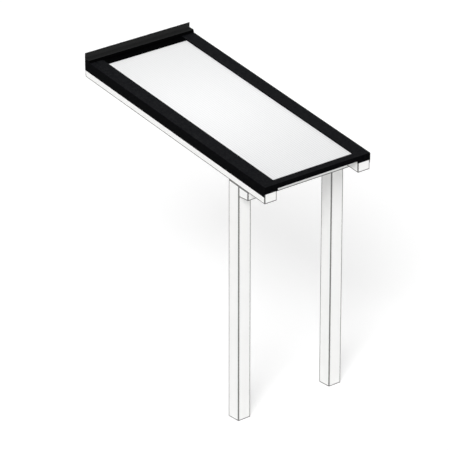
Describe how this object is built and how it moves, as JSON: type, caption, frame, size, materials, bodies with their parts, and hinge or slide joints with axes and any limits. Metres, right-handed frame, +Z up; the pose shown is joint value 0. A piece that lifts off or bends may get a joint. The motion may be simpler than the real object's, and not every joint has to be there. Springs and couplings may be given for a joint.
{
  "type": "attached patio cover",
  "caption": "Lean-to patio cover with white timber posts, beam and rafters, black aluminium edging, wall flashing and a translucent multiwall roof sheet.",
  "frame": {"origin": "middle of the wall ledger's back face, which lies flat against the house wall", "axes": "+Z up, -Y out from the wall towards the front of the roof, +X to the right when facing the wall"},
  "size_m": [1.06, 2.205, 2.5009],
  "materials": {
    "white_timber": "planed softwood, painted white, satin",
    "black_aluminium": "powder coated, fine texture, near black",
    "opal_polycarbonate": "opal multiwall sheet, translucent",
    "black_rubber": "matt EPDM",
    "zinc_steel": "zinc plated"
  },
  "bodies": {
    "root": {"post_left": "white_timber", "post_right": "white_timber", "cross_beam": "white_timber", "wall_ledger": "white_timber", "rafter_left": "white_timber", "rafter_right": "white_timber", "polycarbonate_sheet": "opal_polycarbonate", "side_seal_left": "black_rubber", "side_seal_right": "black_rubber", "ledger_seal": "black_rubber", "side_rail_left": "black_aluminium", "side_rail_right": "black_aluminium", "side_cap_left": "black_aluminium", "side_cap_right": "black_aluminium", "side_wiper_left": "black_rubber", "side_wiper_right": "black_rubber", "end_cap_left": "black_aluminium", "end_cap_right": "black_aluminium", "front_profile": "black_aluminium", "front_wiper": "black_rubber", "wall_profile": "black_aluminium", "wall_wiper": "black_rubber", "wall_flashing": "black_aluminium", "post_bracket_left": "zinc_steel", "post_bracket_right": "zinc_steel", "ledger_bracket_left": "zinc_steel", "ledger_bracket_right": "zinc_steel"}
  },
  "joints": []
}
